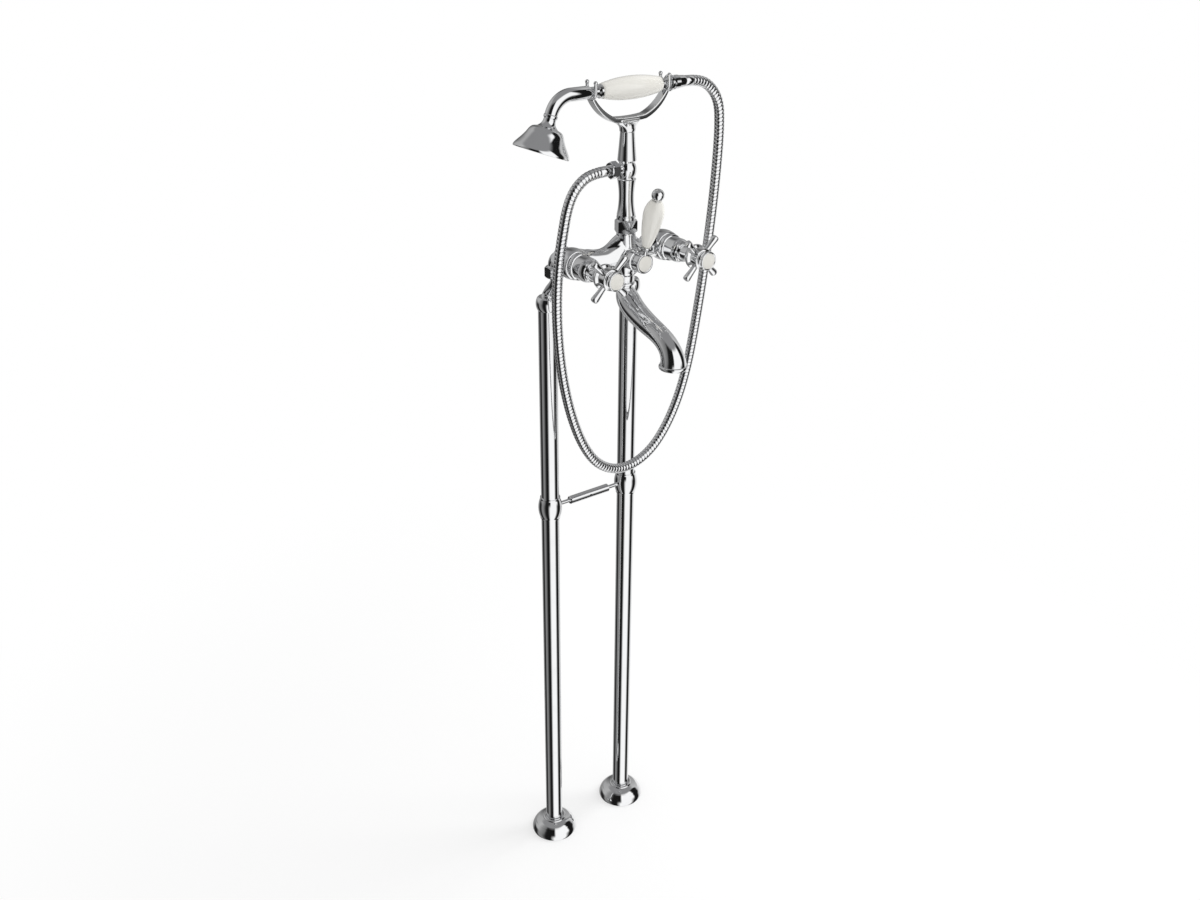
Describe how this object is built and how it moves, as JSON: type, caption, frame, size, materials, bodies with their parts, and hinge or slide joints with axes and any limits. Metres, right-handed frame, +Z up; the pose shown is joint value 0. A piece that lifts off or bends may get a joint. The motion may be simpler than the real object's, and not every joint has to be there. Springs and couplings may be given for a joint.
{
  "type": "floor standing bath filler",
  "caption": "Traditional floor standing bath filler: standpipes with a stay, mixer with cross handles, diverter lever, swivel spout, cradle and hand shower on a ribbed hose.",
  "frame": {"origin": "on the floor, midway between the two standpipes", "axes": "+Z up, +X from the hot standpipe to the cold one as seen from the bath, -Y forward over the bath, the way the spout points"},
  "size_m": [0.3268, 0.2419, 1.2355],
  "materials": {
    "chrome": "polished chrome plate over brass",
    "hose": "polished chrome plated interlocked metal hose",
    "rose_face": "chrome plated spray plate",
    "ceramic": "cream white glazed ceramic",
    "brass": "plain machined brass",
    "steel": "stainless steel"
  },
  "bodies": {
    "stand": {"column_ball": "chrome", "column_collar": "chrome", "column_shaft": "chrome", "column_vase": "chrome", "cradle": "chrome", "diverter_bonnet": "chrome", "floor_flange_left": "chrome", "floor_flange_right": "chrome", "floor_plate_left": "brass", "floor_plate_right": "brass", "hose_ferrule_lower": "chrome", "hose_nut_lower": "chrome", "inlet_elbow_left": "chrome", "inlet_elbow_right": "chrome", "mixer_body": "chrome", "pipe_cap_left": "chrome", "pipe_cap_right": "chrome", "shower_hose": "hose", "spout_nut": "chrome", "standpipe_left": "chrome", "standpipe_right": "chrome", "stay_collar_left": "chrome", "stay_collar_right": "chrome", "stay_grub_screws": "steel", "stay_rod_left": "chrome", "stay_rod_right": "chrome", "stay_turnbuckle": "chrome", "swan_neck_left": "chrome", "swan_neck_right": "chrome", "union_nut_left": "chrome", "union_nut_right": "chrome", "valve_bonnet_left": "chrome", "valve_bonnet_right": "chrome", "valve_headwork_left": "brass", "valve_headwork_right": "brass"},
    "hot_handle": {"cross_handle_left": "chrome", "handle_screw_left": "steel", "handle_cup_left": "chrome", "handle_index_left": "ceramic", "valve_spindle_left": "chrome"},
    "cold_handle": {"cross_handle_right": "chrome", "handle_screw_right": "steel", "handle_cup_right": "chrome", "handle_index_right": "ceramic", "valve_spindle_right": "chrome"},
    "diverter": {"diverter_hub": "chrome", "diverter_spindle": "chrome", "diverter_index": "ceramic", "lever_stem": "chrome", "lever_grip": "ceramic", "lever_ball": "chrome"},
    "spout": {"spout": "chrome", "spout_outlet": "chrome"},
    "handset": {"handset_grip": "ceramic", "grip_ferrule": "chrome", "handset_arm": "chrome", "rose_bell": "chrome", "rose_face": "rose_face", "handset_tail": "chrome", "hose_nut_upper": "chrome"}
  },
  "joints": [
    {"name": "hot_valve", "type": "hinge", "parent": "stand", "child": "hot_handle", "pos_m": [-0.075, -0.13, 1.005], "axis": [0, -1, 0], "range_deg": [0, 90]},
    {"name": "cold_valve", "type": "hinge", "parent": "stand", "child": "cold_handle", "pos_m": [0.075, -0.13, 1.005], "axis": [0, 1, 0], "range_deg": [0, 90]},
    {"name": "diverter_turn", "type": "hinge", "parent": "stand", "child": "diverter", "pos_m": [0, -0.117, 1.005], "axis": [0, -1, 0], "range_deg": [-45, 45]},
    {"name": "spout_swivel", "type": "hinge", "parent": "stand", "child": "spout", "pos_m": [0, -0.081, 0.95], "axis": [0, 0, 1], "range_deg": [-45, 45]},
    {"name": "handset_lift", "type": "slide", "parent": "stand", "child": "handset", "axis": [0, 0, 1], "range_m": [0, 0.1], "deforming": ["shower_hose"]}
  ]
}
